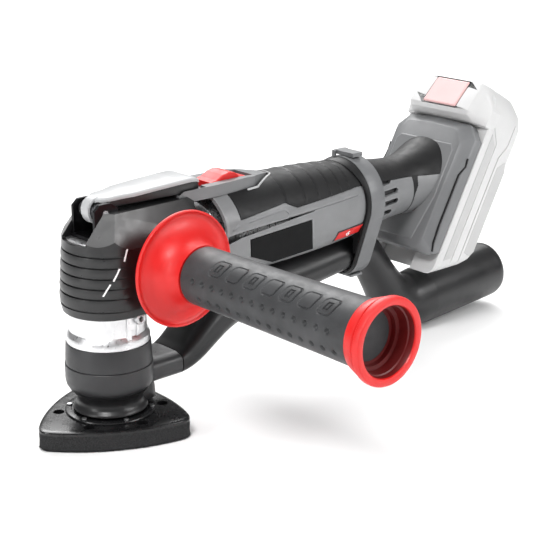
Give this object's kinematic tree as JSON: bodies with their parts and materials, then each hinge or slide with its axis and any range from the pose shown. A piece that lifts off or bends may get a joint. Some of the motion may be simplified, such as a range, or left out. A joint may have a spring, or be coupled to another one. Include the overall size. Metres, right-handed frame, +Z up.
{
  "type": "oscillating multi-tool",
  "caption": "Cordless oscillating multi-tool with delta sanding pad, clamp lever head, dust duct under the body, side handle and slide-on battery.",
  "frame": {"origin": "on the output spindle axis at the pad bottom face", "axes": "+Z up along the spindle, +X from the head to the battery, side handle towards -Y"},
  "size_m": [0.409, 0.2564, 0.1792],
  "materials": {
    "battery_plastic": "pale moulded",
    "bearing_steel": "ground",
    "bracket_steel": "pressed and plated",
    "brass_part": "turned",
    "button_pink": "pale moulded",
    "cast_aluminium": "machined casting",
    "cell_wrap": "heat-shrink wrap",
    "circuit_board": "solder mask",
    "copper_winding": "enamelled copper",
    "dark_plastic": "moulded",
    "duct_plastic": "satin moulded",
    "fan_nylon": "moulded",
    "foam": "closed-cell foam",
    "grey_plastic": "fine spark-eroded texture",
    "grip_rubber": "matte, dimpled",
    "head_black": "satin, softly reflective",
    "hook_face": "short stiff hooks",
    "label_dark": "printed plate, blank",
    "lever_silver": "fine satin paint",
    "magnet": "sintered ferrite",
    "pad_black": "smooth satin",
    "red_plastic": "bright moulded",
    "rubber_black": "soft matte",
    "steel": "turned",
    "strap_grey": "satin moulded"
  },
  "bodies": {
    "housing": {"lower_bearing": "bearing_steel", "upper_bearing": "bearing_steel", "cam_bracket": "bracket_steel", "lever_pin": "steel", "gearbox_housing": "cast_aluminium", "head_cover_left": "head_black", "head_cover_right": "head_black", "front_motor_bearing": "bearing_steel", "rear_motor_bearing": "bearing_steel", "motor_can": "steel", "motor_magnets": "magnet", "brush_carrier": "dark_plastic", "body_shell_left": "grey_plastic", "body_shell_right": "grey_plastic", "overmould_left": "rubber_black", "overmould_right": "rubber_black", "label_plates": "label_dark", "shell_screws": "steel", "switch_block": "grey_plastic", "micro_switch": "dark_plastic", "control_board": "circuit_board", "terminal_block": "dark_plastic", "dust_skirt": "duct_plastic", "collar_lower": "duct_plastic", "collar_upper": "duct_plastic", "duct_neck": "duct_plastic", "dust_duct": "duct_plastic", "outlet_elbow": "duct_plastic", "outlet_socket": "duct_plastic", "strap_band": "strap_grey", "strap_liner": "rubber_black"},
    "spindle": {"output_spindle": "steel", "swing_fork": "steel", "pad_plate": "pad_black", "pad_foam": "foam", "pad_hook_face": "hook_face", "pad_ring": "pad_black", "pad_screws": "steel"},
    "clamp_rod": {"clamp_bolt": "steel"},
    "lever": {"clamp_lever": "lever_silver"},
    "rotor": {"motor_shaft": "steel", "armature": "copper_winding", "commutator": "copper_winding", "cooling_fan": "fan_nylon", "counterweight": "brass_part", "eccentric_bearing": "bearing_steel"},
    "switch": {"switch_slider": "red_plastic"},
    "dial": {"speed_dial": "red_plastic"},
    "stud": {"handle_stud": "steel"},
    "handle": {"handle_core": "dark_plastic", "handle_flange": "red_plastic", "handle_grip": "grip_rubber", "handle_cap": "red_plastic"},
    "buckle": {"strap_buckle": "strap_grey"},
    "battery": {"battery_case_front": "battery_plastic", "battery_case_rear": "battery_plastic", "battery_cells": "cell_wrap"},
    "release_button": {"battery_button": "button_pink"}
  },
  "joints": [
    {"name": "pad_oscillation", "type": "hinge", "parent": "housing", "child": "spindle", "pos_m": [0, 0, 0.1], "axis": [0, 0, 1], "range_deg": [-1.4, 1.4]},
    {"name": "clamp_rod_travel", "type": "slide", "parent": "spindle", "child": "clamp_rod", "axis": [0, 0, -1], "range_m": [0, 0.003]},
    {"name": "clamp_lever_swing", "type": "hinge", "parent": "housing", "child": "lever", "pos_m": [-0.007, 0, 0.1405], "axis": [0, -1, 0], "range_deg": [0, 140]},
    {"name": "rotor_spin", "type": "hinge", "parent": "housing", "child": "rotor", "pos_m": [0.09, 0, 0.11], "axis": [1, 0, 0], "continuous": true},
    {"name": "power_switch_slide", "type": "slide", "parent": "housing", "child": "switch", "axis": [-1, 0, 0], "range_m": [0, 0.006]},
    {"name": "speed_dial_turn", "type": "hinge", "parent": "housing", "child": "dial", "pos_m": [0.1835, -0.01307, 0.10078], "axis": [0, -0.5764, 0.8171], "range_deg": [0, 270]},
    {"name": "handle_thread_travel", "type": "slide", "parent": "housing", "child": "stud", "axis": [0, -1, 0], "range_m": [0, 0.005]},
    {"name": "handle_unscrew", "type": "hinge", "parent": "stud", "child": "handle", "pos_m": [0.025, -0.12, 0.1077], "axis": [0, -1, 0], "range_deg": [0, 1441]},
    {"name": "strap_buckle_lift", "type": "hinge", "parent": "housing", "child": "buckle", "pos_m": [0.205, 0.008, 0.1412], "axis": [-1, 0, 0], "range_deg": [0, 80]},
    {"name": "battery_slide", "type": "slide", "parent": "housing", "child": "battery", "axis": [0.5, 0, 0.866], "range_m": [0, 0.09]},
    {"name": "battery_release", "type": "slide", "parent": "battery", "child": "release_button", "axis": [0.673, 0, -0.7396], "range_m": [0, 0.0025], "stiffness_N_per_m": 900}
  ],
  "couplings": [
    {"joint": "clamp_rod_travel", "follows": "clamp_lever_swing", "m_per_rad": 0.0012265},
    {"joint": "handle_unscrew", "follows": "handle_thread_travel", "rad_per_m": 5026.5}
  ]
}
